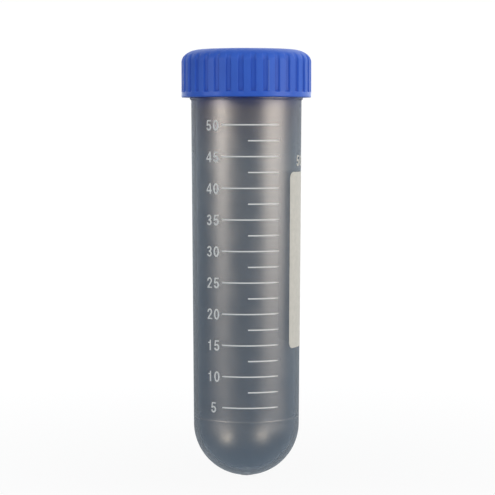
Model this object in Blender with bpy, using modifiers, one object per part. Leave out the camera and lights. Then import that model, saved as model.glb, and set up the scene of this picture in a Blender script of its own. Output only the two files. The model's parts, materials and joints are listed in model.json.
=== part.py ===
"""A 50 ml round-bottom centrifuge tube with a ribbed screw cap, in metres, +Z up.

The origin is the lowest point of the round bottom, on the tube's axis. The printed scale faces -Y.
It holds the tube, the printed scale and writing panel on its wall, the sealing ring, and the cap,
which turns on a right-handed thread of one start.
"""

import math

import bmesh
import bpy
from mathutils import Matrix, Vector

# ---- driving dimensions, in metres -------------------------------------------------------------

# Tube body: a hemisphere under a gently tapered wall.
DOME_RADIUS = 0.01436
BODY_TOP_RADIUS = 0.0150
BORE_DOME_RADIUS = 0.01320
BORE_TOP_RADIUS = 0.01375
FLOOR_THICKNESS = 0.00135
FLOOR_PAD_RADIUS = 0.0018
FLOOR_PAD_HEIGHT = 0.0002
SEAM_HEIGHT = 0.0162
SEAM_STEP = 0.00004
GATE_FOOT_RADIUS = 0.0019
GATE_RADIUS = 0.0013
GATE_DEPTH = 0.0003

# Neck: a stop collar, a threaded wall and a flat rim.
COLLAR_BOTTOM = 0.1025
COLLAR_EDGE = 0.1028
COLLAR_TOP = 0.1034
COLLAR_RADIUS = 0.01535
NECK_RADIUS = 0.01485
RIM_HEIGHT = 0.1133
RIM_ROUND = 0.0004
MOUTH_RADIUS = 0.01405
MOUTH_DEPTH = 0.0012

# Screw thread, one start, right-handed.
LEAD = 0.0040
THREAD_TURNS = 1.5
THREAD_BOTTOM = 0.1052
THREAD_CREST_RADIUS = 0.01575
THREAD_BASE_WIDTH = 0.0020
THREAD_CREST_WIDTH = 0.0009
CAP_THREAD_CREST_RADIUS = 0.01515
CAP_THREAD_BASE_WIDTH = 0.0017
CAP_THREAD_CREST_WIDTH = 0.0008
CAP_THREAD_DROP = 0.00155
CAP_THREAD_START_TURN = 0.5
THREAD_EMBED = 0.0005
THREAD_STEPS_PER_TURN = 48
THREAD_RUN_OUT_STEPS = 6
THREAD_END_SCALE = 0.35

# Screw cap.
CAP_RADIUS = 0.0176
CAP_BOTTOM = 0.1033
CAP_TOP = 0.1162
CAP_FLAT_RADIUS = 0.0126
CAP_CORNER_HEIGHT = 0.0034
CAP_PLATE = 0.0015
CAP_ROOT_RADIUS = 0.01615
CAP_MOUTH_RADIUS = 0.01645
CAP_MOUTH_DEPTH = 0.0007
RIB_COUNT = 33
FIRST_GROOVE = -4.8
BAND_HEIGHT = 0.0013
GROOVE_FLOOR_RADIUS = 0.01712
GROOVE_WIDTH = 0.00135

# Plug: the ring inside the cap that centres it in the tube's mouth.
PLUG_RADIUS = 0.01345
PLUG_TIP_RADIUS = 0.01325
PLUG_WALL = 0.0009
PLUG_DEPTH = 0.0038

# Sealing ring, pressed between the rim and the cap's top plate.
RING_INNER_RADIUS = 0.01375
RING_OUTER_RADIUS = 0.01560
RING_BOTTOM = 0.11345
RING_THICKNESS = 0.0011
RING_ROUND = 0.0002

# Printed scale and writing panel. Angles are in degrees about the axis, from -Y towards +X.
INK_THICKNESS = 0.0001
INK_GAP = 0.00008
SCALE_BOTTOM = 0.0204
SCALE_STEP = 0.00839
SCALE_STEPS = 10
SCALE_STEP_ML = 5
LINE_WIDTH = 0.00032
LINE_START = -26.5
HALF_LINE_START = 1.6
LINE_END = 35.8
PANEL_START = 52.0
PANEL_END = 143.0
PANEL_BOTTOM = 0.0358
PANEL_TOP = 0.0833
PANEL_CORNER = 0.0016
WRAP_SLICE = 0.0012

STEPS = 72
CAP_STEPS = 2 * RIB_COUNT
DOME_STEPS = 9
CORNER_STEPS = 6
RIM_STEPS = 3
MERGE = 0.00001
CUT_MERGE = 0.0000001

PARTS = "test_tube"
CUTTERS = "cutters"


# ---- helpers -----------------------------------------------------------------------------------


def clear_scene():
    for obj in list(bpy.data.objects):
        bpy.data.objects.remove(obj, do_unlink=True)
    for name in (PARTS, CUTTERS):
        bpy.context.scene.collection.children.link(bpy.data.collections.new(name))


def make_material(name, colour, roughness, alpha=1.0):
    material = bpy.data.materials.new(name)
    material.use_nodes = True
    shader = material.node_tree.nodes["Principled BSDF"]
    shader.inputs["Base Color"].default_value = (*colour, 1.0)
    shader.inputs["Roughness"].default_value = roughness
    shader.inputs["Metallic"].default_value = 0.0
    shader.inputs["Alpha"].default_value = alpha
    return material


def add_object(name, data, material=None, collection=PARTS):
    obj = bpy.data.objects.new(name, data)
    bpy.data.collections[collection].objects.link(obj)
    if material is not None:
        obj.data.materials.append(material)
    return obj


def make_cutter(obj):
    """A shape that is only joined to another or cut from it."""
    obj.hide_render = True
    obj.display_type = "WIRE"
    return obj


def turned(name, profile, material, steps=STEPS, closed=False):
    """Spins a profile of (radius, height) points once about Z. The profile runs down its outer side."""
    count = len(profile)
    edges = [(i, i + 1) for i in range(count - 1)]
    if closed:
        edges.append((count - 1, 0))
    mesh = bpy.data.meshes.new(name)
    mesh.from_pydata([(radius, 0.0, height) for radius, height in profile], edges, [])
    obj = add_object(name, mesh, material)
    screw = obj.modifiers.new("Screw", "SCREW")
    screw.axis = "Z"
    screw.angle = 2 * math.pi
    screw.steps = steps
    screw.render_steps = steps
    screw.use_merge_vertices = True
    screw.merge_threshold = MERGE
    screw.use_smooth_shade = True
    return obj


def quarter(centre, radii, start, end, steps):
    """Points of an elliptical arc about centre, as (radius, height), from start to end degrees."""
    points = []
    for i in range(steps + 1):
        angle = math.radians(start + (end - start) * i / steps)
        across = centre[0] + radii[0] * math.cos(angle)
        up = centre[1] + radii[1] * math.sin(angle)
        points.append((max(across, 0.0), up))
    return points


def mesh_from(curve_object, name, collection=PARTS):
    """A closed mesh object made from a curve or text object, which is then removed."""
    bpy.context.view_layer.update()
    graph = bpy.context.evaluated_depsgraph_get()
    mesh = bpy.data.meshes.new_from_object(curve_object.evaluated_get(graph))
    mesh.name = name
    cage = bmesh.new()
    cage.from_mesh(mesh)
    bmesh.ops.remove_doubles(cage, verts=cage.verts, dist=MERGE / 10)
    bmesh.ops.recalc_face_normals(cage, faces=cage.faces)
    cage.to_mesh(mesh)
    cage.free()
    obj = add_object(name, mesh, collection=collection)
    obj.matrix_world = curve_object.matrix_world
    bpy.data.objects.remove(curve_object, do_unlink=True)
    return obj


def flat_outline(points):
    """A closed flat outline in the XY plane, as thick as the ink."""
    curve = bpy.data.curves.new("outline", "CURVE")
    curve.dimensions = "2D"
    curve.fill_mode = "BOTH"
    curve.extrude = INK_THICKNESS / 2
    spline = curve.splines.new("POLY")
    spline.points.add(len(points) - 1)
    for point, (x, y) in zip(spline.points, points):
        point.co = (x, y, 0.0, 1.0)
    spline.use_cyclic_u = True
    return add_object("outline", curve)


def wall_radius(height):
    """The tube's outer radius on its tapered wall."""
    share = (height - DOME_RADIUS) / (COLLAR_BOTTOM - DOME_RADIUS)
    return DOME_RADIUS + share * (BODY_TOP_RADIUS - DOME_RADIUS)


def wrapped(flat, name, material):
    """Bends a flat print round the wall: its X is the distance round the wall from -Y, its Y the height."""
    obj = mesh_from(flat, name)
    obj.data.materials.append(material)
    cage = bmesh.new()
    cage.from_mesh(obj.data)
    low = min(v.co.x for v in cage.verts)
    high = max(v.co.x for v in cage.verts)
    slices = max(1, math.ceil((high - low) / WRAP_SLICE))
    for i in range(1, slices):
        at = low + (high - low) * i / slices
        parts = [*cage.verts, *cage.edges, *cage.faces]
        bmesh.ops.bisect_plane(cage, geom=parts, plane_co=(at, 0, 0), plane_no=(1, 0, 0), dist=CUT_MERGE)
    for vertex in cage.verts:
        along, height, depth = vertex.co
        angle = along / BODY_TOP_RADIUS
        radius = wall_radius(height) + INK_GAP + INK_THICKNESS / 2 + depth
        vertex.co = (radius * math.sin(angle), -radius * math.cos(angle), height)
    bmesh.ops.recalc_face_normals(cage, faces=cage.faces)
    cage.to_mesh(obj.data)
    cage.free()
    return obj


def around(degrees):
    """The distance round the wall of an angle from -Y."""
    return math.radians(degrees) * BODY_TOP_RADIUS


# ---- the thread --------------------------------------------------------------------------------


def thread_profile(base_width, crest_width, reach):
    """A trapezoid across the thread, from its base, sunk into the wall, to its crest at reach."""
    curve = bpy.data.curves.new("thread_profile", "CURVE")
    curve.dimensions = "2D"
    spline = curve.splines.new("POLY")
    slope = (base_width - crest_width) / abs(reach)
    sunk_width = base_width + slope * THREAD_EMBED
    sunk = -math.copysign(THREAD_EMBED, reach)
    corners = [
        (sunk, -sunk_width / 2),
        (reach, -crest_width / 2),
        (reach, crest_width / 2),
        (sunk, sunk_width / 2),
    ]
    spline.points.add(len(corners) - 1)
    for point, (x, y) in zip(spline.points, corners):
        point.co = (x, y, 0.0, 1.0)
    spline.use_cyclic_u = True
    return make_cutter(add_object("thread_profile", curve, collection=CUTTERS))


def thread_ridge(name, root_radius, crest_radius, base_width, crest_width, bottom, start_turn=0.0):
    """A right-handed ridge that climbs one lead a turn and fades out at both ends."""
    profile = thread_profile(base_width, crest_width, crest_radius - root_radius)
    curve = bpy.data.curves.new(name, "CURVE")
    curve.dimensions = "3D"
    curve.twist_mode = "Z_UP"
    curve.bevel_mode = "OBJECT"
    curve.bevel_object = profile
    curve.use_fill_caps = True
    steps = round(THREAD_TURNS * THREAD_STEPS_PER_TURN)
    spline = curve.splines.new("POLY")
    spline.points.add(steps)
    for i, point in enumerate(spline.points):
        angle = 2 * math.pi * (i / THREAD_STEPS_PER_TURN + start_turn)
        height = bottom + LEAD * i / THREAD_STEPS_PER_TURN
        point.co = (root_radius * math.cos(angle), root_radius * math.sin(angle), height, 1.0)
        fade = min(1.0, min(i, steps - i) / THREAD_RUN_OUT_STEPS)
        point.radius = THREAD_END_SCALE + (1 - THREAD_END_SCALE) * fade
    ridge = mesh_from(add_object(name + "_curve", curve, collection=CUTTERS), name, CUTTERS)
    bpy.data.objects.remove(profile, do_unlink=True)
    return make_cutter(ridge)


def combine(obj, other, operation):
    boolean = obj.modifiers.new(operation.title(), "BOOLEAN")
    boolean.operation = operation
    boolean.object = other
    boolean.solver = "EXACT"


# ---- the parts ---------------------------------------------------------------------------------


def build_tube(material):
    pad_top = FLOOR_THICKNESS + FLOOR_PAD_HEIGHT
    floor_pad = [(0.0, pad_top), (FLOOR_PAD_RADIUS, pad_top)]
    bore_centre = (0.0, FLOOR_THICKNESS + BORE_DOME_RADIUS)
    bore = quarter(bore_centre, (BORE_DOME_RADIUS,) * 2, -90, 0, DOME_STEPS)
    bore = floor_pad + [point for point in bore if point[0] > FLOOR_PAD_RADIUS]
    mouth = [
        (BORE_TOP_RADIUS, RIM_HEIGHT - MOUTH_DEPTH),
        (MOUTH_RADIUS, RIM_HEIGHT),
    ]
    rim = quarter((NECK_RADIUS - RIM_ROUND, RIM_HEIGHT - RIM_ROUND), (RIM_ROUND,) * 2, 90, 0, RIM_STEPS)
    collar = [
        (NECK_RADIUS, COLLAR_TOP),
        (COLLAR_RADIUS, COLLAR_TOP),
        (COLLAR_RADIUS, COLLAR_EDGE),
        (BODY_TOP_RADIUS, COLLAR_BOTTOM),
    ]
    seam = [
        (wall_radius(SEAM_HEIGHT) + SEAM_STEP, SEAM_HEIGHT + SEAM_STEP),
        (wall_radius(SEAM_HEIGHT), SEAM_HEIGHT - SEAM_STEP),
    ]
    dome = quarter((0.0, DOME_RADIUS), (DOME_RADIUS,) * 2, 0, -90, DOME_STEPS)
    dome = [point for point in dome if point[0] > GATE_FOOT_RADIUS]
    gate = [(GATE_FOOT_RADIUS, 0.0), (GATE_RADIUS, 0.0), (GATE_RADIUS, GATE_DEPTH), (0.0, GATE_DEPTH)]
    tube = turned("tube", bore + mouth + rim + collar + seam + dome + gate, material)
    ridge = thread_ridge(
        "tube_thread",
        NECK_RADIUS,
        THREAD_CREST_RADIUS,
        THREAD_BASE_WIDTH,
        THREAD_CREST_WIDTH,
        THREAD_BOTTOM,
    )
    combine(tube, ridge, "UNION")
    return tube


def rib_grooves():
    """One cutter of upright bars, each as wide as a groove between two ribs."""
    bottom = CAP_BOTTOM + BAND_HEIGHT
    top = CAP_TOP + GROOVE_WIDTH
    depth = 2 * (CAP_RADIUS - GROOVE_FLOOR_RADIUS)
    cage = bmesh.new()
    for i in range(RIB_COUNT):
        angle = math.radians(FIRST_GROOVE - 90 + 360 * i / RIB_COUNT)
        bar = bmesh.ops.create_cube(cage, size=1.0)["verts"]
        bmesh.ops.scale(cage, verts=bar, vec=(depth, GROOVE_WIDTH, top - bottom))
        centre = Vector((GROOVE_FLOOR_RADIUS + depth / 2, 0.0, (top + bottom) / 2))
        bmesh.ops.translate(cage, verts=bar, vec=centre)
        turn = Matrix.Rotation(angle, 3, "Z")
        bmesh.ops.rotate(cage, verts=bar, cent=(0, 0, 0), matrix=turn)
    mesh = bpy.data.meshes.new("rib_grooves")
    cage.to_mesh(mesh)
    cage.free()
    return make_cutter(add_object("rib_grooves", mesh, collection=CUTTERS))


def build_cap(material):
    plate_bottom = CAP_TOP - CAP_PLATE
    corner_radii = (CAP_RADIUS - CAP_FLAT_RADIUS, CAP_CORNER_HEIGHT)
    corner = quarter((CAP_FLAT_RADIUS, CAP_TOP - CAP_CORNER_HEIGHT), corner_radii, 90, 0, CORNER_STEPS)
    skirt = [
        (CAP_RADIUS, CAP_BOTTOM),
        (CAP_MOUTH_RADIUS, CAP_BOTTOM),
        (CAP_ROOT_RADIUS, CAP_BOTTOM + CAP_MOUTH_DEPTH),
        (CAP_ROOT_RADIUS, plate_bottom),
    ]
    plug_tip = plate_bottom - PLUG_DEPTH
    plug = [
        (PLUG_RADIUS, plate_bottom),
        (PLUG_TIP_RADIUS, plug_tip),
        (PLUG_TIP_RADIUS - PLUG_WALL, plug_tip),
        (PLUG_RADIUS - PLUG_WALL, plate_bottom),
        (0.0, plate_bottom),
    ]
    cap = turned("screw_cap", [(0.0, CAP_TOP)] + corner + skirt + plug, material, CAP_STEPS)
    ridge = thread_ridge(
        "cap_thread",
        CAP_ROOT_RADIUS,
        CAP_THREAD_CREST_RADIUS,
        CAP_THREAD_BASE_WIDTH,
        CAP_THREAD_CREST_WIDTH,
        THREAD_BOTTOM + LEAD * CAP_THREAD_START_TURN - CAP_THREAD_DROP,
        CAP_THREAD_START_TURN,
    )
    combine(cap, ridge, "UNION")
    combine(cap, rib_grooves(), "DIFFERENCE")
    return cap


def build_sealing_ring(material):
    low = RING_BOTTOM
    high = RING_BOTTOM + RING_THICKNESS
    profile = [
        (RING_OUTER_RADIUS - RING_ROUND, high),
        (RING_OUTER_RADIUS, high - RING_ROUND),
        (RING_OUTER_RADIUS, low + RING_ROUND),
        (RING_OUTER_RADIUS - RING_ROUND, low),
        (RING_INNER_RADIUS, low),
        (RING_INNER_RADIUS, high),
    ]
    return turned("sealing_ring", profile, material, closed=True)


def scale_line(name, start, height, material):
    left = around(start)
    right = around(LINE_END)
    low = height - LINE_WIDTH / 2
    high = height + LINE_WIDTH / 2
    outline = flat_outline([(left, low), (right, low), (right, high), (left, high)])
    return wrapped(outline, name, material)


def build_scale(material):
    """A full line at every step of the scale, with a half line between each two."""
    for i in range(SCALE_STEPS):
        height = SCALE_BOTTOM + i * SCALE_STEP
        volume = (i + 1) * SCALE_STEP_ML
        scale_line(f"full_line_{volume:02d}ml", LINE_START, height, material)
        if i < SCALE_STEPS - 1:
            middle = height + SCALE_STEP / 2
            half_volume = f"{volume + SCALE_STEP_ML // 2:02d}_5ml"
            scale_line("half_line_" + half_volume, HALF_LINE_START, middle, material)


def build_writing_panel(material):
    left = around(PANEL_START)
    right = around(PANEL_END)
    corners = [
        ((right - PANEL_CORNER, PANEL_BOTTOM + PANEL_CORNER), -90),
        ((right - PANEL_CORNER, PANEL_TOP - PANEL_CORNER), 0),
        ((left + PANEL_CORNER, PANEL_TOP - PANEL_CORNER), 90),
        ((left + PANEL_CORNER, PANEL_BOTTOM + PANEL_CORNER), 180),
    ]
    outline = []
    for centre, start in corners:
        outline += quarter_2d(centre, PANEL_CORNER, start)
    return wrapped(flat_outline(outline), "writing_panel", material)


def quarter_2d(centre, radius, start):
    """A quarter circle of points in the XY plane, from start degrees anticlockwise."""
    points = []
    for i in range(CORNER_STEPS + 1):
        angle = math.radians(start + 90 * i / CORNER_STEPS)
        points.append((centre[0] + radius * math.cos(angle), centre[1] + radius * math.sin(angle)))
    return points


def hang_on_axis(obj, name, height):
    """Parents a moving piece to an empty on the tube's axis."""
    axis = add_object(name, None)
    axis.location = (0.0, 0.0, height)
    axis.empty_display_size = CAP_RADIUS
    bpy.context.view_layer.update()
    obj.parent = axis
    obj.matrix_parent_inverse = axis.matrix_world.inverted()


def main():
    clear_scene()
    clear_plastic = make_material("translucent_polypropylene", (0.62, 0.66, 0.70), 0.35, alpha=0.45)
    blue_plastic = make_material("blue_polyethylene", (0.035, 0.10, 0.50), 0.42)
    silicone = make_material("silicone", (0.78, 0.80, 0.80), 0.55)
    ink = make_material("white_ink", (0.83, 0.83, 0.80), 0.60)
    build_tube(clear_plastic)
    hang_on_axis(build_cap(blue_plastic), "cap_turn_axis", CAP_BOTTOM)
    hang_on_axis(build_sealing_ring(silicone), "cap_lift_axis", RING_BOTTOM)
    build_scale(ink)
    build_writing_panel(ink)


main()
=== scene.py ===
"""Looks of the round-bottom tube and its screw cap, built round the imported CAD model, in metres.

Every size comes from the frame or is a named value here. Angles about the tube are in degrees,
from the front (-Y) towards +X, unless a name says otherwise.
"""

import json
import math

import bmesh
import bpy
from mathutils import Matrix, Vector


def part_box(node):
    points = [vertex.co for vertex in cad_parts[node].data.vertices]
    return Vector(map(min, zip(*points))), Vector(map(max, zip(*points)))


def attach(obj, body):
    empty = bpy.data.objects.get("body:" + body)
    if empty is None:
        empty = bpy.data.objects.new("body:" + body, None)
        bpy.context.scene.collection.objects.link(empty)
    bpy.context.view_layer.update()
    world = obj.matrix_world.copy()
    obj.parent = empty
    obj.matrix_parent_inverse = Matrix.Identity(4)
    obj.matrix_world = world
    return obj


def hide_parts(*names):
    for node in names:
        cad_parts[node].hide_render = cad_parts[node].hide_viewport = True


MM = 0.001
TURN = 2 * math.pi
CREASE = 40.0

# Moulded details of the tube that the CAD model only marks.
SEAM_HEIGHT = 16.5 * MM
SEAM_RISE = 0.03 * MM
SEAM_SPREAD = 0.16 * MM
# The width of the painted highlight along the seam.
SEAM_HIGHLIGHT_WIDTH = 0.24 * MM
EDGE_ROUND = 0.25 * MM
GATE_FOOT_RADIUS = 1.9 * MM
GATE_RADIUS = 1.3 * MM
GATE_DEPTH = 0.3 * MM
BORE_FLOOR = 1.35 * MM
FLOOR_PAD_RADIUS = 1.8 * MM
FLOOR_PAD_HEIGHT = 0.2 * MM
MOUTH_DEPTH = 1.2 * MM
COLLAR_FOOT = 0.35 * MM

# Where the round bottom meets the pad inside and the foot outside, as shares of their radii.
PAD_EDGE = 1.15
FOOT_EDGE = 1.1

# Thread. Turns are counted about +Z from +X.
THREAD_TURNS = 1.5
THREAD_FADE_TURNS = 0.12
TUBE_THREAD_BOTTOM = 105.2 * MM
TUBE_THREAD_WIDTHS = (2.0 * MM, 0.9 * MM)
CAP_THREAD_DROP = 1.55 * MM
CAP_THREAD_START_TURN = 0.5
CAP_THREAD_WIDTHS = (1.7 * MM, 0.8 * MM)
CAP_THREAD_REACH = 1.0 * MM

# Cap.
RIB_COUNT = 33
FIRST_GROOVE = -4.8
GROOVE_WIDTH = 1.35 * MM
GROOVE_FLANK = 0.16 * MM
GROOVE_FLOOR_RADIUS = 17.12 * MM
BAND_HEIGHT = 1.3 * MM
GROOVE_END = 0.35 * MM
GROOVE_FADE = 0.7 * MM
CAP_FLAT_RADIUS = 12.6 * MM
CAP_SHOULDER = 3.4 * MM
CAP_PLATE = 1.5 * MM
CAP_ROOT_RADIUS = 16.15 * MM
CAP_MOUTH_DEPTH = 0.7 * MM
CAP_MOUTH_FLARE = 0.3 * MM
PLUG_DEPTH = 3.8 * MM
PLUG_RADIUS = 13.45 * MM
PLUG_TAPER = 0.2 * MM
PLUG_WALL = 0.9 * MM
CAP_GATE_RADIUS = 1.2 * MM
CAP_GATE_DEPTH = 0.08 * MM
# How the paler sharp edges fade out below the flat top.
PALE_EDGE_FADE = (0.6 * MM, 0.2 * MM)

# Sealing ring: the round of its edges and what its groove leaves, as shares of half its height.
RING_ROUND = 0.55
RING_GROOVE = 0.85

# Steps round the turned pieces and along their profiles.
TUBE_SEGMENTS = 192
RING_SEGMENTS = 128
BORE_STEPS = 30
NECK_STEPS = 90
WALL_STEPS = 48
DOME_STEPS = 32
SHOULDER_STEPS = 36
CAP_THREAD_STEPS = 80

# Print.
INK_LIFT = 0.012 * MM
INK_THICKNESS = 0.03 * MM
WRAP_SLICE = 0.5 * MM
LINE_TAIL = 1.3 * MM
LINE_TAIL_SHARE = 0.35
PANEL_CORNER = 1.6 * MM
ARC_STEPS = 8
NUMERAL_HEIGHT = 2.8 * MM
NUMERAL_ANGLE = -37.4
NUMERAL_DROP = 0.15 * MM
NUMERAL_ADVANCE = 0.84
SCALE_STEP_ML = 5
MARK_ANGLE = 65.0
MARK_RISE = 1.5 * MM
MARK_HEIGHT = 2.9 * MM

# Figures and letters, as shares of their height: an upright stroke, a level stroke and a width.
STEM = 0.155
BAR = 0.9 * STEM
GLYPH_WIDTH = 0.64

# How far the painted shade of the cap reaches down the milky wall below it, and how far the cap's blue,
# painted on as light thrown from it, shows. Both fade out on the neck, which the cap covers.
CAP_SHADE = 18.0 * MM
CAP_PAINTED_LIGHT_REACH = 3.5 * MM
NECK_FADE = 2.0 * MM

# Colours. A pair holds the two ends between which a surface varies.
MILKY = ((0.134, 0.210, 0.308), (0.154, 0.234, 0.338))
# Painted shade and painted light on the milky wall: below the cap, in the round bottom, along the seam
# and on the gate mark.
MILKY_PAINTED_SHADE = (0.066, 0.088, 0.200)
MILKY_PAINTED_CAP_LIGHT = (0.060, 0.100, 0.400)
MILKY_PAINTED_BOTTOM_LIGHT = (0.24, 0.33, 0.44)
MILKY_PAINTED_SEAM_HIGHLIGHT = (0.32, 0.36, 0.42)
MILKY_PAINTED_GATE_HIGHLIGHT = (0.90, 0.94, 0.94)
BLUE = ((0.034, 0.130, 0.67), (0.041, 0.150, 0.73))
BLUE_PALE_EDGE = (0.12, 0.22, 0.66)
# Painted shade for the corners between the ribs.
BLUE_CORNER_SHADE = (0.010, 0.060, 0.44)
SCALE_INK = ((0.92, 0.92, 0.91), (0.97, 0.97, 0.96))
PANEL_INK = ((0.68, 0.66, 0.60), (0.76, 0.73, 0.67))
SILICONE = ((0.70, 0.72, 0.72), (0.80, 0.81, 0.80))
WHITE = (1.0, 1.0, 1.0, 1.0)
FLOOR_GREY = (0.06, 0.06, 0.06, 1.0)
COOL_ROOM = (0.87, 0.95, 1.0, 1.0)
AMBER_LAMP = (1.0, 0.86, 0.68)
WARM_LAMP = (1.0, 0.89, 0.78)
PLAIN_LAMP = (1.0, 0.97, 0.93)

# Stage: the lamps stand on a circle about the object. The backdrop's strengths are 1 where white.
LAMP_DISTANCE = 0.60
BACKDROP = 1.02
BEHIND_TUBE = 0.14
FLOOR_RADIUS = 6.0
FLOOR_GAP = 0.02 * MM

# Camera: level with the top line of the scale, looking slightly down.
CAMERA_DISTANCE = 0.500
CAMERA_HEIGHT = 0.0956
CAMERA_SIDE = 0.31 * MM
CAMERA_PITCH = 3.79
LENS = 133.43
SENSOR = 36.0

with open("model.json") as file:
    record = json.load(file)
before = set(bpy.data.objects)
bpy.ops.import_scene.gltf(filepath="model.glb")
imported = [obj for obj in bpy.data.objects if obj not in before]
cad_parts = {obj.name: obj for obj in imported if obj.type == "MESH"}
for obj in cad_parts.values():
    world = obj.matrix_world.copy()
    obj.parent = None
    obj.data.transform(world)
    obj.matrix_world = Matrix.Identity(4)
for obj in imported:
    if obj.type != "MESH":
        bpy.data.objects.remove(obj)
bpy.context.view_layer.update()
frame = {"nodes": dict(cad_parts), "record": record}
record = frame["record"]
LEAD = TURN * record["behaviour"]["couplings"][0]["ratio"]


# ---- sizes read from the frame -----------------------------------------------------------------


def wall_radius(node, height, outer=True):
    """The outer or inner radius of a turned CAD node's wall at a height."""
    mesh = frame["nodes"][node].data
    radii = []
    for edge in mesh.edges:
        a, b = (mesh.vertices[i].co for i in edge.vertices)
        if (a.z - height) * (b.z - height) < 0:
            point = a.lerp(b, (height - a.z) / (b.z - a.z))
            radii.append(math.hypot(point.x, point.y))
    middle = (min(radii) + max(radii)) / 2
    return max(r for r in radii if outer or r < middle)


def sector(node):
    """The stretch of wall that a printed CAD node covers: its two angles and its two heights."""
    low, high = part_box(node)
    angles = [math.degrees(math.atan2(v.co.x, -v.co.y)) for v in frame["nodes"][node].data.vertices]
    angles = [a + 360 if a < -90 else a for a in angles]
    return min(angles), max(angles), low.z, high.z


tube_low, tube_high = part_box("tube")
cap_low, cap_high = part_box("screw_cap")
ring_low, ring_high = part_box("sealing_ring")
RIM = tube_high.z
CAP_BOTTOM, CAP_TOP, CAP_RADIUS = cap_low.z, cap_high.z, cap_high.x
PLATE_BOTTOM = CAP_TOP - CAP_PLATE
COLLAR_TOP = CAP_BOTTOM + 0.1 * MM
COLLAR_EDGE = CAP_BOTTOM - 0.5 * MM
COLLAR_BOTTOM = CAP_BOTTOM - 0.8 * MM

# The wall and the bore taper evenly. Their radii are measured at a low cut and at a high one.
LOW_CUT, HIGH_CUT = 0.2 * CAP_TOP, 0.85 * CAP_TOP
LOW_RADIUS = wall_radius("tube", LOW_CUT)
LOW_BORE = wall_radius("tube", LOW_CUT, outer=False)
TAPER = (wall_radius("tube", HIGH_CUT) - LOW_RADIUS) / (HIGH_CUT - LOW_CUT)
BORE_TAPER = (wall_radius("tube", HIGH_CUT, outer=False) - LOW_BORE) / (HIGH_CUT - LOW_CUT)


def body_radius(height):
    """The radius of the tube's outside at a height."""
    return LOW_RADIUS + TAPER * (height - LOW_CUT)


def bore_radius(height):
    """The radius of the tube's inside at a height."""
    return LOW_BORE + BORE_TAPER * (height - LOW_CUT)


# The round bottom is a half ball as wide as the wall where they meet, outside and inside.
DOME = (LOW_RADIUS - TAPER * LOW_CUT) / (1 - TAPER)
BORE_DOME = (LOW_BORE - BORE_TAPER * (LOW_CUT - BORE_FLOOR)) / (1 - BORE_TAPER)
COLLAR_RADIUS = body_radius(CAP_BOTTOM) + COLLAR_FOOT
NECK_RADIUS = wall_radius("tube", CAP_BOTTOM + 0.5 * MM)
THREAD_REACH = tube_high.x - NECK_RADIUS


# ---- shapes ------------------------------------------------------------------------------------


def smooth_step(low, high, value):
    """0 below low, 1 above high, and a soft rise between them."""
    share = min(1.0, max(0.0, (value - low) / (high - low)))
    return share * share * (3 - 2 * share)


def line(start, end, steps):
    """Points from start to end, both included."""
    return [Vector(start).lerp(Vector(end), i / steps).to_tuple() for i in range(steps + 1)]


def arc(centre, radii, start, end, steps):
    """Points of an elliptical arc about centre, from start to end degrees, both included."""
    points = []
    for i in range(steps + 1):
        angle = math.radians(start + (end - start) * i / steps)
        across, up = radii[0] * math.cos(angle), radii[1] * math.sin(angle)
        points.append((centre[0] + across, centre[1] + up))
    return points


def rows(points, relief=None):
    """Profile points as (radius, height, relief).

    relief(angle, height), with the angle in radians from +X, is added to the radius.
    """
    return [(max(0.0, radius), height, relief) for radius, height in points]


def revolve(name, profile, angles):
    """A closed mesh from a profile that starts and ends on the axis, or joins up with itself."""
    cage = bmesh.new()
    rings = []
    for radius, height, relief in profile:
        if radius < 1e-7:
            rings.append([cage.verts.new((0.0, 0.0, height))])
            continue
        ring = []
        for angle in angles:
            reach = radius + (relief(angle, height) if relief else 0.0)
            ring.append(cage.verts.new((reach * math.cos(angle), reach * math.sin(angle), height)))
        rings.append(ring)
    pairs = list(zip(rings, rings[1:]))
    if len(rings[0]) > 1:
        pairs.append((rings[-1], rings[0]))
    count = len(angles)
    for first, second in pairs:
        for i in range(count):
            j = (i + 1) % count
            if len(first) == 1:
                cage.faces.new((first[0], second[i], second[j]))
            elif len(second) == 1:
                cage.faces.new((first[i], second[0], first[j]))
            else:
                cage.faces.new((first[i], second[i], second[j], first[j]))
    bmesh.ops.recalc_face_normals(cage, faces=cage.faces)
    mesh = bpy.data.meshes.new(name)
    cage.to_mesh(mesh)
    cage.free()
    return finished(name, mesh)


def finished(name, mesh):
    """A mesh object, shaded smooth except at creases."""
    mesh.shade_smooth()
    mesh.set_sharp_from_angle(angle=math.radians(CREASE))
    obj = bpy.data.objects.new(name, mesh)
    bpy.context.scene.collection.objects.link(obj)
    return obj


def even_angles(count):
    """Angles spread evenly round the axis."""
    return [TURN * i / count for i in range(count)]


def add_piece(obj, body, nodes, material):
    """Puts a piece on its body in place of its CAD nodes, with its material."""
    obj.data.materials.clear()
    obj.data.materials.append(material)
    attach(obj, body)
    if nodes:
        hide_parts(*nodes)
    return obj


# ---- the thread --------------------------------------------------------------------------------


def ridge(angle, height, bottom, start_turn, widths):
    """How much of a thread's full reach stands at a place, from 0 to 1."""
    base, crest = widths[0] / 2, widths[1] / 2
    share = 0.0
    turn = (angle / TURN - start_turn) % 1.0
    while turn <= THREAD_TURNS:
        fade = smooth_step(0.0, THREAD_FADE_TURNS, min(turn, THREAD_TURNS - turn))
        offset = abs(height - bottom - LEAD * turn)
        share = max(share, fade * (1 - smooth_step(crest, base, offset)))
        turn += 1.0
    return share


def tube_thread(angle, height):
    """The relief of the thread on the neck."""
    return THREAD_REACH * ridge(angle, height, TUBE_THREAD_BOTTOM, 0.0, TUBE_THREAD_WIDTHS)


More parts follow.
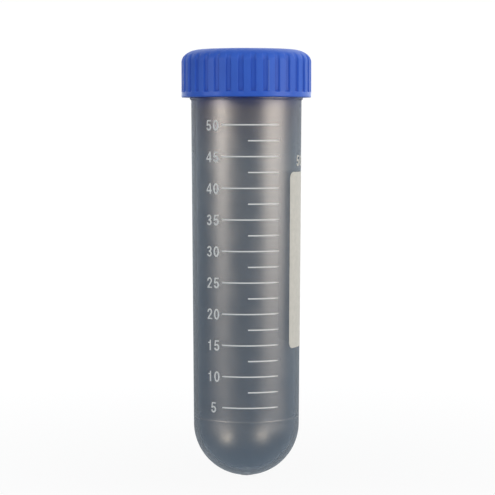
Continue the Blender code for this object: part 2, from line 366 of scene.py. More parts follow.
def cap_thread(angle, height):
    """The relief of the thread inside the cap, which stands inwards."""
    bottom = TUBE_THREAD_BOTTOM + LEAD * CAP_THREAD_START_TURN - CAP_THREAD_DROP
    share = ridge(angle, height, bottom, CAP_THREAD_START_TURN, CAP_THREAD_WIDTHS)
    return -CAP_THREAD_REACH * share


# ---- tube --------------------------------------------------------------------------------------


def seam(height):
    """The faint ring where the two halves of the mould met."""
    return SEAM_RISE * math.exp(-(((height - SEAM_HEIGHT) / SEAM_SPREAD) ** 2))


def bore_rows():
    """Up the inside: a small pad, the round floor, the wall and the widened mouth."""
    pad_top = BORE_FLOOR + FLOOR_PAD_HEIGHT
    pad = line((0.0, pad_top), (FLOOR_PAD_RADIUS, pad_top), 3)
    centre = (0.0, BORE_FLOOR + BORE_DOME)
    start = -math.degrees(math.acos(FLOOR_PAD_RADIUS * PAD_EDGE / BORE_DOME))
    dome = arc(centre, (BORE_DOME, BORE_DOME), start, 0.0, BORE_STEPS)
    top = RIM - MOUTH_DEPTH
    wall = line(dome[-1], (bore_radius(top), top), BORE_STEPS)[1:]
    corner = (wall[-1][0] + 2 * EDGE_ROUND, RIM - EDGE_ROUND)
    mouth = arc(corner, (EDGE_ROUND, EDGE_ROUND), 180, 90, 5)
    return rows(pad + dome + wall + mouth)


def neck_rows():
    """Over the rim and down the threaded neck."""
    corner = (NECK_RADIUS - EDGE_ROUND, RIM - EDGE_ROUND)
    rim = arc(corner, (EDGE_ROUND, EDGE_ROUND), 90, 0, 5)
    neck = line(rim[-1], (NECK_RADIUS, COLLAR_TOP), NECK_STEPS)[1:]
    return rows(rim) + rows(neck, tube_thread)


def collar_rows():
    """Down the stop collar, whose foot slopes into the wall."""
    soft = EDGE_ROUND / 2
    top = arc((COLLAR_RADIUS - soft, COLLAR_TOP - soft), (soft, soft), 90, 0, 4)
    bottom = arc((COLLAR_RADIUS - soft, COLLAR_EDGE + soft), (soft, soft), 0, -45, 3)
    foot = line(bottom[-1], (body_radius(COLLAR_BOTTOM), COLLAR_BOTTOM), 3)[1:]
    return rows(top + bottom + foot)


def wall_rows():
    """Down the tapered wall, with close rows about the seam."""
    low, high = DOME, COLLAR_BOTTOM
    heights = [high - (high - low) * i / WALL_STEPS for i in range(1, WALL_STEPS + 1)]
    heights = [h for h in heights if abs(h - SEAM_HEIGHT) > 3 * SEAM_SPREAD]
    heights += [SEAM_HEIGHT + SEAM_SPREAD * i / 4 for i in range(-10, 11)]
    return rows([(body_radius(h) + seam(h), h) for h in sorted(heights, reverse=True)])


def dome_rows():
    """Down the round bottom to the small foot and the gate mark in its middle."""
    end = -math.degrees(math.acos(GATE_FOOT_RADIUS * FOOT_EDGE / DOME))
    dome = arc((0.0, DOME), (DOME, DOME), -1.5, end, DOME_STEPS)
    dome = [(r + seam(h), h) for r, h in dome]
    gate = [(GATE_FOOT_RADIUS, 0.0), (GATE_RADIUS, 0.0)]
    well = line((GATE_RADIUS - 0.1 * MM, GATE_DEPTH), (0.0, GATE_DEPTH), 2)
    return rows(dome + gate + well)


def build_tube(material):
    """The tube in one piece: its inside, its neck, its collar, its wall and its round bottom."""
    profile = bore_rows() + neck_rows() + collar_rows() + wall_rows() + dome_rows()
    tube = revolve("tube_wall", profile, even_angles(TUBE_SEGMENTS))
    return add_piece(tube, "tube_body", ["tube"], material)


# ---- cap ---------------------------------------------------------------------------------------


def groove(angle, height):
    """The grooves between the ribs, as deep as their floor lies inside the skirt."""
    pitch = 360 / RIB_COUNT
    degrees = math.degrees(angle) + 90 - FIRST_GROOVE
    across = abs((degrees + pitch / 2) % pitch - pitch / 2)
    across *= math.radians(1) * CAP_RADIUS
    half = GROOVE_WIDTH / 2
    share = 1 - smooth_step(half - GROOVE_FLANK, half + GROOVE_FLANK, across)
    band_top = CAP_BOTTOM + BAND_HEIGHT
    share *= smooth_step(band_top, band_top + GROOVE_END, height)
    share *= 1 - smooth_step(CAP_TOP - CAP_SHOULDER, CAP_TOP - GROOVE_FADE, height)
    return -share * (CAP_RADIUS - GROOVE_FLOOR_RADIUS)


def rib_angles():
    """Angles with more steps at the flanks of each groove than along its floor and its rib."""
    pitch = TURN / RIB_COUNT
    half = GROOVE_WIDTH / 2 / CAP_RADIUS
    flank = GROOVE_FLANK / CAP_RADIUS
    edge = [half + flank * share for share in (-1.0, -0.5, 0.0, 0.5, 1.0)]
    offsets = [-e for e in reversed(edge)] + [0.0] + edge
    offsets += [half + flank + (pitch - 2 * (half + flank)) * share for share in (0.25, 0.5, 0.75)]
    start = math.radians(FIRST_GROOVE - 90)
    return [start + pitch * i + offset for i in range(RIB_COUNT) for offset in offsets]


def cap_outside():
    """Out over the flat top with its gate mark, and down the shoulder, the ribs and the band."""
    top = [(0.0, CAP_TOP - CAP_GATE_DEPTH), (CAP_GATE_RADIUS, CAP_TOP - CAP_GATE_DEPTH)]
    top += line((CAP_GATE_RADIUS + 0.05 * MM, CAP_TOP), (CAP_FLAT_RADIUS, CAP_TOP), 6)
    reach = (CAP_RADIUS - CAP_FLAT_RADIUS, CAP_SHOULDER)
    centre = (CAP_FLAT_RADIUS, CAP_TOP - CAP_SHOULDER)
    shoulder = arc(centre, reach, 90, 0, SHOULDER_STEPS)[1:]
    band_top = CAP_BOTTOM + BAND_HEIGHT
    skirt = line(shoulder[-1], (CAP_RADIUS, band_top + GROOVE_END), 10)[1:]
    groove_ends = line(skirt[-1], (CAP_RADIUS, band_top), 6)[1:]
    corner = (CAP_RADIUS - EDGE_ROUND, CAP_BOTTOM + EDGE_ROUND)
    edge = arc(corner, (EDGE_ROUND, EDGE_ROUND), 0, -90, 5)
    return rows(top) + rows(shoulder + skirt + groove_ends, groove) + rows(edge)


def cap_inside():
    """Up the threaded inside of the skirt, round the plug and along the underside of the top."""
    mouth = [(CAP_ROOT_RADIUS + CAP_MOUTH_FLARE, CAP_BOTTOM)]
    start = (CAP_ROOT_RADIUS, CAP_BOTTOM + CAP_MOUTH_DEPTH)
    wall = line(start, (CAP_ROOT_RADIUS, PLATE_BOTTOM), CAP_THREAD_STEPS)
    tip = PLATE_BOTTOM - PLUG_DEPTH
    soft = EDGE_ROUND
    plug = line((PLUG_RADIUS, PLATE_BOTTOM), (PLUG_RADIUS - PLUG_TAPER, tip + soft), 4)
    outer_tip = arc((PLUG_RADIUS - PLUG_TAPER - soft, tip + soft), (soft, soft), 0, -90, 4)[1:]
    inner = PLUG_RADIUS - PLUG_TAPER - PLUG_WALL
    inner_tip = arc((inner + soft, tip + soft), (soft, soft), -90, -180, 4)
    ceiling = line((PLUG_RADIUS - PLUG_WALL, PLATE_BOTTOM), (0.0, PLATE_BOTTOM), 5)
    return rows(mouth) + rows(wall, cap_thread) + rows(plug + outer_tip + inner_tip + ceiling)


def build_cap(material):
    """The cap in one piece, its ribs and thread included."""
    cap = revolve("cap_shell", cap_outside() + cap_inside(), rib_angles())
    return add_piece(cap, "cap_body", ["screw_cap"], material)


def build_ring(material):
    """The soft ring: a flat band with rounded edges and a shallow groove on both faces."""
    outer = ring_high.x
    inner = wall_radius("sealing_ring", (ring_low.z + ring_high.z) / 2, outer=False)
    half = (ring_high.z - ring_low.z) / 2
    middle = (ring_high.z + ring_low.z) / 2
    soft = half * RING_ROUND
    profile = arc((outer - soft, middle + half - soft), (soft, soft), 90, 0, 6)
    profile += arc((outer - soft, middle - half + soft), (soft, soft), 0, -90, 6)
    profile += [((outer + inner) / 2, middle - half * RING_GROOVE)]
    profile += arc((inner + soft, middle - half + soft), (soft, soft), -90, -180, 6)
    profile += arc((inner + soft, middle + half - soft), (soft, soft), 180, 90, 6)
    profile += [((outer + inner) / 2, middle + half * RING_GROOVE)]
    ring = revolve("seal_ring", rows(profile), even_angles(RING_SEGMENTS))
    return add_piece(ring, "seal_body", ["sealing_ring"], material)


# ---- print -------------------------------------------------------------------------------------


def printed(name, outlines, material, nodes=()):
    """Ink on the wall. Outlines are closed, in (distance round the wall from the front, height)."""
    curve = bpy.data.curves.new(name, "CURVE")
    curve.dimensions = "2D"
    curve.fill_mode = "BOTH"
    curve.extrude = INK_THICKNESS / 2
    for outline in outlines:
        spline = curve.splines.new("POLY")
        spline.points.add(len(outline) - 1)
        for point, (x, y) in zip(spline.points, outline):
            point.co = (x, y, 0.0, 1.0)
        spline.use_cyclic_u = True
    flat = bpy.data.objects.new(name + "_flat", curve)
    bpy.context.scene.collection.objects.link(flat)
    bpy.context.view_layer.update()
    graph = bpy.context.evaluated_depsgraph_get()
    mesh = bpy.data.meshes.new_from_object(flat.evaluated_get(graph))
    bpy.data.objects.remove(flat, do_unlink=True)
    wrap(mesh)
    return add_piece(finished(name, mesh), "tube_body", nodes, material)


def wrap(mesh):
    """Bends a flat print round the tapered wall, in slices narrow enough to lie on it."""
    cage = bmesh.new()
    cage.from_mesh(mesh)
    bmesh.ops.remove_doubles(cage, verts=cage.verts, dist=0.001 * MM)
    low = min(v.co.x for v in cage.verts)
    high = max(v.co.x for v in cage.verts)
    slices = max(1, math.ceil((high - low) / WRAP_SLICE))
    for i in range(1, slices):
        at = low + (high - low) * i / slices
        parts = [*cage.verts, *cage.edges, *cage.faces]
        bmesh.ops.bisect_plane(cage, geom=parts, plane_co=(at, 0, 0), plane_no=(1, 0, 0), dist=1e-7)
    reach = body_radius(HIGH_CUT)
    for vertex in cage.verts:
        along, height, depth = vertex.co
        radius = body_radius(height) + INK_LIFT + INK_THICKNESS / 2 + depth
        angle = along / reach
        vertex.co = (radius * math.sin(angle), -radius * math.cos(angle), height)
    bmesh.ops.recalc_face_normals(cage, faces=cage.faces)
    cage.to_mesh(mesh)
    cage.free()


def around(degrees):
    """The distance round the wall of an angle from the front."""
    return math.radians(degrees) * body_radius(HIGH_CUT)


def rounded_box(left, right, low, high, radius):
    """The outline of a box with rounded corners."""
    corners = [
        ((right - radius, low + radius), -90),
        ((right - radius, high - radius), 0),
        ((left + radius, high - radius), 90),
        ((left + radius, low + radius), 180),
    ]
    outline = []
    for centre, start in corners:
        outline += arc(centre, (radius, radius), start, start + 90, ARC_STEPS)
    return outline


def scale_line(left, right, low, high):
    """A line of the scale: round at its start, and thinning out towards its end."""
    middle = (low + high) / 2
    half = (high - low) / 2
    tip = half * LINE_TAIL_SHARE
    outline = arc((left + half, middle), (half, half), 90, 270, ARC_STEPS)
    outline += [(right - LINE_TAIL, low), (right, middle - tip)]
    outline += [(right, middle + tip), (right - LINE_TAIL, high)]
    return outline


# Outlines of the generic figures and letters in the print, one unit high. Each starts at its own
# left edge, on its base line. An outline inside another is a hole.


def glyph_zero():
    middle = (GLYPH_WIDTH / 2, 0.5)
    outer = arc(middle, (0.31, 0.51), 0, 345, 23)
    inner = arc(middle, (0.31 - STEM, 0.51 - BAR), 0, 345, 23)
    return [outer, inner]


def glyph_one():
    flag = [(0.28, 0.83), (0.20, 0.78), (0.09, 0.765), (0.09, 0.675), (0.275, 0.675)]
    stem = [(0.275, 0.0), (0.275 + STEM, 0.0), (0.275 + STEM, 1.0), (0.315, 1.0)]
    return [stem + flag]


def glyph_two():
    centre = (0.315, 0.705)
    outer = arc(centre, (0.30, 0.305), 188, -38, 18)
    foot = [(0.225, 0.115), (0.615, 0.115), (0.615, 0.0), (0.02, 0.0), (0.035, 0.10)]
    inner = arc(centre, (0.30 - STEM, 0.305 - BAR), -42, 188, 18)
    return [outer + foot + inner]


def glyph_three():
    upper, lower = (0.305, 0.735), (0.305, 0.285)
    rise, fall = (0.275, 0.27), (0.30, 0.29)
    outer = arc(upper, rise, 170, -48, 16) + arc(lower, fall, 56, -170, 18)
    inner_low = arc(lower, (fall[0] - STEM, fall[1] - BAR), -170, 90, 18)
    bar = [(0.235, 0.458), (0.235, 0.573)]
    inner_high = arc(upper, (rise[0] - STEM, rise[1] - BAR), -88, 170, 16)
    return [outer + inner_low + bar + inner_high]


def glyph_four():
    left, right, low = 0.40, 0.40 + STEM, 0.225
    high = low + BAR
    outer = [(left, 0.0), (right, 0.0), (right, low), (0.65, low), (0.65, high), (right, high)]
    outer += [(right, 1.0), (0.41, 1.0), (0.0, 0.365), (0.0, low), (left, low)]
    return [outer, [(left, high), (left, 0.80), (0.115, high)]]


def glyph_five():
    centre = (0.315, 0.325)
    outer = arc(centre, (0.30, 0.325), 118, -168, 22)
    inner = arc(centre, (0.30 - STEM, 0.325 - BAR), -168, 138, 20)
    top = [(0.12, 1.0), (0.58, 1.0), (0.58, 0.885), (0.22, 0.885)]
    stem = [(0.155, 0.455), (0.045, 0.47)]
    return [top + outer + inner + stem]


def glyph_m():
    """Three stems under two arches."""
    x_height, pitch, arch = 0.74, 0.36, 0.23
    outline = [(0.0, 0.0), (0.0, x_height), (STEM, x_height)]
    for i in range(2):
        centre = (STEM / 2 + pitch * (i + 0.5), x_height - arch)
        outline += arc(centre, (pitch / 2 + STEM / 2, arch), 150, 12, 8)[(2 if i else 0):]
    outline += [(STEM + 2 * pitch, 0.0), (2 * pitch, 0.0)]
    for i in (1, 0):
        centre = (STEM / 2 + pitch * (i + 0.5), x_height - arch)
        inner = (pitch / 2 - STEM / 2, arch - BAR)
        outline += arc(centre, inner, 0, 180, 8)
        outline += [(STEM + pitch * i, 0.0), (pitch * i, 0.0)][: 2 if i else 1]
    return [outline]


def glyph_l():
    return [[(0.0, 0.0), (STEM, 0.0), (STEM, 1.0), (0.0, 1.0)]]


GLYPHS = {
    "0": (glyph_zero, GLYPH_WIDTH),
    "1": (glyph_one, GLYPH_WIDTH),
    "2": (glyph_two, GLYPH_WIDTH),
    "3": (glyph_three, GLYPH_WIDTH),
    "4": (glyph_four, GLYPH_WIDTH),
    "5": (glyph_five, GLYPH_WIDTH),
    "m": (glyph_m, 0.85),
    "l": (glyph_l, STEM),
    " ": (lambda: [], 0.25),
}


def lettering(text, size, left, low):
    """The outlines of a line of print, size high, from left."""
    outlines = []
    for letter in text:
        draw, width = GLYPHS[letter]
        for outline in draw():
            outlines.append([(left + size * x, low + size * y) for x, y in outline])
        left += size * (width + NUMERAL_ADVANCE - GLYPH_WIDTH)
    return outlines


def text_width(text, size):
    """How wide a line of print is."""
    gap = NUMERAL_ADVANCE - GLYPH_WIDTH
    return size * (sum(GLYPHS[letter][1] + gap for letter in text) - gap)


def build_print():
    """The lines of the scale and their numerals, the writing panel and the mark above it."""
    line_ink = ink("white_scale_ink", SCALE_INK)
    panel_ink = ink("white_panel_ink", PANEL_INK)
    pieces = []
    nodes = sorted(n for n in frame["nodes"] if n.startswith(("full_line", "half_line")))
    for node in nodes:
        start, end, low, high = sector(node)
        outline = scale_line(around(start), around(end), low, high)
        pieces.append(printed("ink_" + node, [outline], line_ink, [node]))
    full = [node for node in nodes if node.startswith("full_line")]
    for i, node in enumerate(full):
        _, _, low, high = sector(node)
        text = str(SCALE_STEP_ML * (i + 1))
        left = around(NUMERAL_ANGLE) - text_width(text, NUMERAL_HEIGHT) / 2
        bottom = (low + high - NUMERAL_HEIGHT) / 2 - NUMERAL_DROP
        figures = lettering(text, NUMERAL_HEIGHT, left, bottom)
        pieces.append(printed("ink_numeral_" + text, figures, line_ink))
    start, end, low, high = sector("writing_panel")
    outline = rounded_box(around(start), around(end), low, high, PANEL_CORNER)
    pieces.append(printed("ink_writing_panel", [outline], panel_ink, ["writing_panel"]))
    mark = lettering("50 ml", MARK_HEIGHT, around(MARK_ANGLE), high + MARK_RISE)
    pieces.append(printed("ink_volume_mark", mark, panel_ink))
    return pieces


# ---- materials ---------------------------------------------------------------------------------


def new_material(name):
    """A material with its node tree and its shader."""
    material = bpy.data.materials.new(name)
    material.use_nodes = True
    return material, material.node_tree, material.node_tree.nodes["Principled BSDF"]


def noise(tree, scale, detail, stretch=None):
    """A noise texture on the object's own coordinates. stretch scales it on each axis."""
    place = tree.nodes.new("ShaderNodeTexCoord")
    source = place.outputs["Object"]
    if stretch:
        mapping = tree.nodes.new("ShaderNodeMapping")
        mapping.inputs["Scale"].default_value = stretch
        tree.links.new(source, mapping.inputs["Vector"])
        source = mapping.outputs["Vector"]
    texture = tree.nodes.new("ShaderNodeTexNoise")
    texture.inputs["Scale"].default_value = scale
    texture.inputs["Detail"].default_value = detail
    tree.links.new(source, texture.inputs["Vector"])
    return texture.outputs["Fac"]


def own_axis(tree, axis):
    """How far along one of the object's own axes a point lies, in metres."""
    place = tree.nodes.new("ShaderNodeTexCoord")
    axes = tree.nodes.new("ShaderNodeSeparateXYZ")
    tree.links.new(place.outputs["Object"], axes.inputs["Vector"])
    return axes.outputs[axis]


def spread(tree, source, low, high, from_low=0.3, from_high=0.7, soft=False):
    """source, from from_low to from_high, as a number from low to high."""
    node = tree.nodes.new("ShaderNodeMapRange")
    node.interpolation_type = "SMOOTHSTEP" if soft else "LINEAR"
    node.inputs["From Min"].default_value = from_low
    node.inputs["From Max"].default_value = from_high
    node.inputs["To Min"].default_value = low
    node.inputs["To Max"].default_value = high
    tree.links.new(source, node.inputs["Value"])
    return node.outputs["Result"]


def calculate(tree, operation, *values):
    """One step of arithmetic on numbers and other nodes' outputs."""
    node = tree.nodes.new("ShaderNodeMath")
    node.operation = operation
    for value, socket in zip(values, node.inputs):
        if isinstance(value, float):
            socket.default_value = value
        else:
            tree.links.new(value, socket)
    return node.outputs["Value"]


def blend_colour(tree, share, first, second):
    """A colour from first to second. first is a colour or another node's output."""
    node = tree.nodes.new("ShaderNodeMix")
    node.data_type = "RGBA"
    if isinstance(first, tuple):
        node.inputs["A"].default_value = (*first, 1.0)
    else:
        tree.links.new(first, node.inputs["A"])
    node.inputs["B"].default_value = (*second, 1.0)
    tree.links.new(share, node.inputs["Factor"])
    return node.outputs["Result"]


def clouded(tree, source, pair):
    """A colour that varies between the two of a pair, as a noise does."""
    return blend_colour(tree, spread(tree, source, 0.0, 1.0), *pair)


def bump(tree, shader, height, distance):
    """Raises the surface's grain by a noise, as high as distance in metres."""
    node = tree.nodes.new("ShaderNodeBump")
    node.inputs["Distance"].default_value = distance
    tree.links.new(height, node.inputs["Height"])
    tree.links.new(node.outputs["Normal"], shader.inputs["Normal"])


def near(tree, height, reach):
    """1 at a height on the object and 0 further than reach from it."""
    offset = calculate(tree, "SUBTRACT", own_axis(tree, "Z"), height)
    distance = calculate(tree, "ABSOLUTE", offset)
    return spread(tree, distance, 1.0, 0.0, reach / 4, reach)


def near_gate(tree):
    """1 on the pad and the gate mark at the middle of the round bottom, and 0 elsewhere."""
    place = tree.nodes.new("ShaderNodeTexCoord")
    reach = tree.nodes.new("ShaderNodeVectorMath")
    reach.operation = "DISTANCE"
    reach.inputs[1].default_value = (0.0, 0.0, BORE_FLOOR + FLOOR_PAD_HEIGHT)
    tree.links.new(place.outputs["Object"], reach.inputs[0])
    inner, outer = 0.92 * FLOOR_PAD_RADIUS, 1.05 * FLOOR_PAD_RADIUS
    return spread(tree, reach.outputs["Value"], 1.0, 0.0, inner, outer)


def polypropylene():
    """Natural polypropylene: milky and half see-through, with faint flow marks down its length.

    Painted shade darkens it below the cap, the cap's blue is painted on as light just under it, and the
    round bottom is painted paler. A painted highlight runs along the seam and lies on the gate mark.
    """
    material, tree, shader = new_material("natural_polypropylene")
    flow = noise(tree, 90.0, 4.0, stretch=(1.0, 1.0, 0.15))
    cloud = noise(tree, 220.0, 3.0)
    height = own_axis(tree, "Z")
    colour = clouded(tree, flow, MILKY)
    below_cap = spread(tree, height, 1.0, 0.0, CAP_BOTTOM, CAP_BOTTOM + NECK_FADE, soft=True)
    # Painted shade: the wall darkens towards the cap, as if in its shadow, and clears on the neck.
    shade = spread(tree, height, 0.0, 1.0, CAP_BOTTOM - CAP_SHADE, CAP_BOTTOM, soft=True)
    shade = calculate(tree, "MULTIPLY", shade, below_cap)
    colour = blend_colour(tree, shade, colour, MILKY_PAINTED_SHADE)
    # Painted light: the cap's blue, as if thrown from it onto the wall just below.
    glow = spread(tree, height, 0.0, 1.0, CAP_BOTTOM - CAP_PAINTED_LIGHT_REACH, CAP_BOTTOM)
    glow = calculate(tree, "MULTIPLY", glow, below_cap)
    colour = blend_colour(tree, glow, colour, MILKY_PAINTED_CAP_LIGHT)
    # Painted light: the round bottom is made paler, as if lit from below.
    bottom = spread(tree, height, 1.0, 0.0, 2.0 * MM, SEAM_HEIGHT, soft=True)
    colour = blend_colour(tree, bottom, colour, MILKY_PAINTED_BOTTOM_LIGHT)
    # Painted highlight: a paler ring along the mould seam, as if its ridge caught the light.
    colour = blend_colour(tree, near(tree, SEAM_HEIGHT, SEAM_HIGHLIGHT_WIDTH), colour, MILKY_PAINTED_SEAM_HIGHLIGHT)
    # Painted highlight: the gate mark and the floor pad inside are made pale, as if lit.
    colour = blend_colour(tree, near_gate(tree), colour, MILKY_PAINTED_GATE_HIGHLIGHT)
    tree.links.new(colour, shader.inputs["Base Color"])
    tree.links.new(spread(tree, cloud, 0.37, 0.43), shader.inputs["Roughness"])
    shader.inputs["IOR"].default_value = 1.49
    shader.inputs["Specular IOR Level"].default_value = 1.0
    shader.inputs["Alpha"].default_value = 0.42
    bump(tree, shader, flow, 0.006 * MM)
    return material


def blue_polyethylene():
    """Moulded blue plastic with a satin grain, smoother on its plain band than above it.

    It is paler on its sharp edges, and painted shade darkens the corners between the ribs.
    """
    material, tree, shader = new_material("blue_moulded_plastic")
    cloud = noise(tree, 130.0, 4.0)
    grain = noise(tree, 5200.0, 3.0)
    colour = clouded(tree, cloud, BLUE)
    height = own_axis(tree, "Z")
    sharpness = tree.nodes.new("ShaderNodeNewGeometry").outputs["Pointiness"]
    # Paler on the sharp edges below the flat top.
    below_top = spread(tree, height, 1.0, 0.0, CAP_TOP - PALE_EDGE_FADE[0], CAP_TOP - PALE_EDGE_FADE[1])
    edges = calculate(tree, "MULTIPLY", spread(tree, sharpness, 0.0, 0.5, 0.53, 0.62), below_top)
    colour = blend_colour(tree, edges, colour, BLUE_PALE_EDGE)
    # Painted shade: darker in the corners between the ribs, where shade would fall.
    corners = spread(tree, sharpness, 0.8, 0.0, 0.42, 0.495)
    colour = blend_colour(tree, corners, colour, BLUE_CORNER_SHADE)
    tree.links.new(colour, shader.inputs["Base Color"])
    band_top = CAP_BOTTOM + BAND_HEIGHT
    above_band = spread(tree, height, -0.12, 0.04, band_top, band_top + GROOVE_END)
    rough = calculate(tree, "ADD", spread(tree, cloud, 0.42, 0.50), above_band)
    tree.links.new(rough, shader.inputs["Roughness"])
    shader.inputs["IOR"].default_value = 1.50
    shader.inputs["Specular IOR Level"].default_value = 0.35
    bump(tree, shader, grain, 0.008 * MM)
    return material


def ink(name, pair):
    """Screen-printed ink: chalky, with a mesh grain and slightly thin patches."""
    material, tree, shader = new_material(name)
    thin = noise(tree, 700.0, 4.0)
    grain = noise(tree, 7000.0, 2.0)
    colour = clouded(tree, thin, pair)
    tree.links.new(colour, shader.inputs["Base Color"])
    tree.links.new(spread(tree, grain, 0.50, 0.66), shader.inputs["Roughness"])
    bump(tree, shader, grain, 0.006 * MM)
    return material


def silicone():
    """Soft milky silicone, slightly dusty."""
    material, tree, shader = new_material("milky_silicone")
    dust = noise(tree, 900.0, 4.0)
    colour = clouded(tree, dust, SILICONE)
    tree.links.new(colour, shader.inputs["Base Color"])
    tree.links.new(spread(tree, dust, 0.42, 0.6), shader.inputs["Roughness"])
    bump(tree, shader, dust, 0.01 * MM)
    return material


# ---- stage -------------------------------------------------------------------------------------


def dimmed_behind(tree, strength):
    """A strength, a number or a node's output, that drops where it is seen through the tube.

    It looks as if a grey card stood behind the tube.
    """
    path = tree.nodes.new("ShaderNodeLightPath")
    through = calculate(tree, "GREATER_THAN", path.outputs["Transparent Depth"], 0.5)
    mix = tree.nodes.new("ShaderNodeMix")
    mix.inputs["B"].default_value = BEHIND_TUBE
    if isinstance(strength, float):
        mix.inputs["A"].default_value = strength
    else:
        tree.links.new(strength, mix.inputs["A"])
    tree.links.new(through, mix.inputs["Factor"])
    return mix.outputs["Result"]


def build_floor():
    """A white floor that fades into the white background. It doesn't light the see-through tube."""
    mesh = bpy.data.meshes.new("floor")
    cage = bmesh.new()
    bmesh.ops.create_circle(cage, cap_ends=True, radius=FLOOR_RADIUS, segments=96)
    cage.to_mesh(mesh)
    cage.free()
    floor = bpy.data.objects.new("floor", mesh)
    bpy.context.scene.collection.objects.link(floor)
    floor.location.z = min(0.0, tube_low.z) - FLOOR_GAP
    material, tree, shader = new_material("white_floor")
    shader.inputs["Base Color"].default_value = FLOOR_GREY
    shader.inputs["Roughness"].default_value = 0.9
    shader.inputs["Specular IOR Level"].default_value = 0.0
    shader.inputs["Emission Color"].default_value = WHITE
    place = tree.nodes.new("ShaderNodeTexCoord")
    distance = tree.nodes.new("ShaderNodeVectorMath")
    distance.operation = "LENGTH"
    tree.links.new(place.outputs["Object"], distance.inputs[0])
    glow = spread(tree, distance.outputs["Value"], 0.93, 1.02, 0.02, 0.30)
    tree.links.new(dimmed_behind(tree, glow), shader.inputs["Emission Strength"])
    mesh.materials.append(material)
    floor.visible_diffuse = False
    floor.visible_glossy = False
    floor.visible_transmission = False
    floor.visible_shadow = False


def facing(tree, direction, low, high, from_low, from_high):
    """A strength from low to high, by how far a ray's direction leans towards another one."""
    place = tree.nodes.new("ShaderNodeTexCoord")
    lean = tree.nodes.new("ShaderNodeVectorMath")
    lean.operation = "DOT_PRODUCT"
    lean.inputs[1].default_value = direction
    tree.links.new(place.outputs["Generated"], lean.inputs[0])
    return spread(tree, lean.outputs["Value"], low, high, from_low, from_high)


def build_world():
    """White where the camera sees it, and a soft studio room for the light on the object.

    The room is brighter in front and on the right. Glossy surfaces mirror a dim room instead, with
    bright walls behind the object and a dark table below it.
    """
    world = bpy.data.worlds.new("studio")
    world.use_nodes = True
    tree = world.node_tree
    output = tree.nodes["World Output"]
    seen = tree.nodes["Background"]
    seen.inputs["Color"].default_value = WHITE
    tree.links.new(dimmed_behind(tree, BACKDROP), seen.inputs["Strength"])
    room = tree.nodes.new("ShaderNodeBackground")
    room.inputs["Color"].default_value = COOL_ROOM
    front_right = facing(tree, (0.6, -0.75, 0.1), 0.28, 0.50, -1.0, 1.0)
    walls = facing(tree, (0.24, 1.0, 0.0), 0.16, 1.9, 0.05, 0.84)
    table = facing(tree, (0.0, 0.0, 1.0), 0.35, 1.0, -0.14, -0.02)
    path = tree.nodes.new("ShaderNodeLightPath")
    strength = tree.nodes.new("ShaderNodeMix")
    tree.links.new(front_right, strength.inputs["A"])
    tree.links.new(calculate(tree, "MULTIPLY", walls, table), strength.inputs["B"])
    tree.links.new(path.outputs["Is Glossy Ray"], strength.inputs["Factor"])
    tree.links.new(strength.outputs["Result"], room.inputs["Strength"])
    mix = tree.nodes.new("ShaderNodeMixShader")
    tree.links.new(path.outputs["Is Camera Ray"], mix.inputs["Fac"])
    tree.links.new(room.outputs["Background"], mix.inputs[1])
    tree.links.new(seen.outputs["Background"], mix.inputs[2])
    tree.links.new(mix.outputs["Shader"], output.inputs["Surface"])
    world.cycles.sampling_method = "NONE"
    bpy.context.scene.world = world


def softbox(name, azimuth, height, size, power, colour, aim_height):
    """A soft panel light at an angle from the front, aimed at a height on the tube's axis."""
    data = bpy.data.lights.new(name, "AREA")
    data.shape = "RECTANGLE"
    data.size, data.size_y = size
    data.energy = power
    data.color = colour
    lamp = bpy.data.objects.new(name, data)
    bpy.context.scene.collection.objects.link(lamp)
    turn = math.radians(azimuth)
    lamp.location = (LAMP_DISTANCE * math.sin(turn), -LAMP_DISTANCE * math.cos(turn), height)
    aim = Vector((0.0, 0.0, aim_height)) - lamp.location
    lamp.rotation_euler = aim.to_track_quat("-Z", "Y").to_euler()
    lamp.visible_camera = False
    return lamp


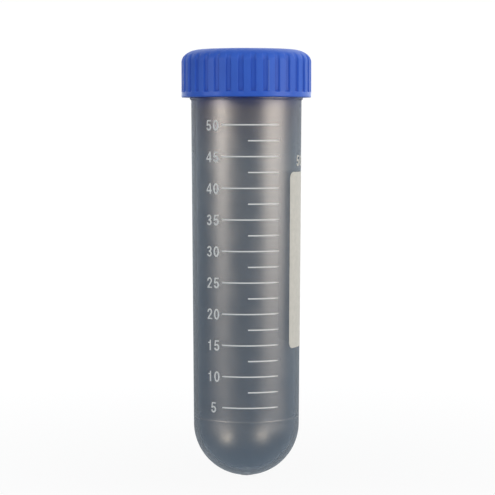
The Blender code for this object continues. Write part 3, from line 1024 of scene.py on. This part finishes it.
def light_only(pieces, lamps):
    """Links lamps to some pieces, so that they leave the others dark."""
    group = bpy.data.collections.new("lit_" + lamps[0].name)
    for piece in pieces:
        group.objects.link(piece)
    for lamp in lamps:
        lamp.light_linking.receiver_collection = group


def build_lights(tube, cap, print_pieces):
    """Lamps that the tube or the cap mirrors as bands, and others that only light the cap and print."""
    top, middle, bottom = 0.12, 0.06, 0.02
    bands = [
        softbox("left_box", -54.5, 0.24, (0.23, 0.32), 6.9, WARM_LAMP, top),
        softbox("right_box", 62, 0.18, (0.52, 0.32), 7.3, WARM_LAMP, top),
        softbox("left_high", -48, 0.48, (0.16, 0.14), 26.0, AMBER_LAMP, bottom),
        softbox("right_high", 62, 0.48, (0.22, 0.14), 33.0, AMBER_LAMP, bottom),
    ]
    glints = [
        softbox("left_glint", -60, 0.24, (0.34, 0.42), 1.1, PLAIN_LAMP, top),
        softbox("right_glint", 60, 0.20, (0.40, 0.44), 1.4, PLAIN_LAMP, top),
    ]
    fills = [
        softbox("front_fill", -10, 0.34, (0.50, 0.50), 1.1, PLAIN_LAMP, middle),
        softbox("right_fill", 82, 0.20, (0.50, 0.60), 1.6, WARM_LAMP, middle),
    ]
    for lamp in bands + glints:
        lamp.visible_diffuse = False
    for lamp in fills:
        lamp.visible_glossy = False
    light_only([tube], bands)
    light_only([cap], glints)
    light_only([cap] + print_pieces, fills)


def build_camera():
    """A long lens in front of the tube."""
    data = bpy.data.cameras.new("camera")
    data.lens = LENS
    data.sensor_width = SENSOR
    data.clip_start = 0.01
    data.clip_end = 50.0
    camera = bpy.data.objects.new("camera", data)
    bpy.context.scene.collection.objects.link(camera)
    camera.location = (CAMERA_SIDE, -CAMERA_DISTANCE, CAMERA_HEIGHT)
    camera.rotation_euler = (math.radians(90 - CAMERA_PITCH), 0.0, 0.0)
    bpy.context.scene.camera = camera


def main():
    """Builds the pieces and the stage."""
    build_camera()
    tube = build_tube(polypropylene())
    cap = build_cap(blue_polyethylene())
    build_ring(silicone())
    print_pieces = build_print()
    build_floor()
    build_world()
    build_lights(tube, cap, print_pieces)
    bpy.context.scene.view_settings.view_transform = "Standard"


main()
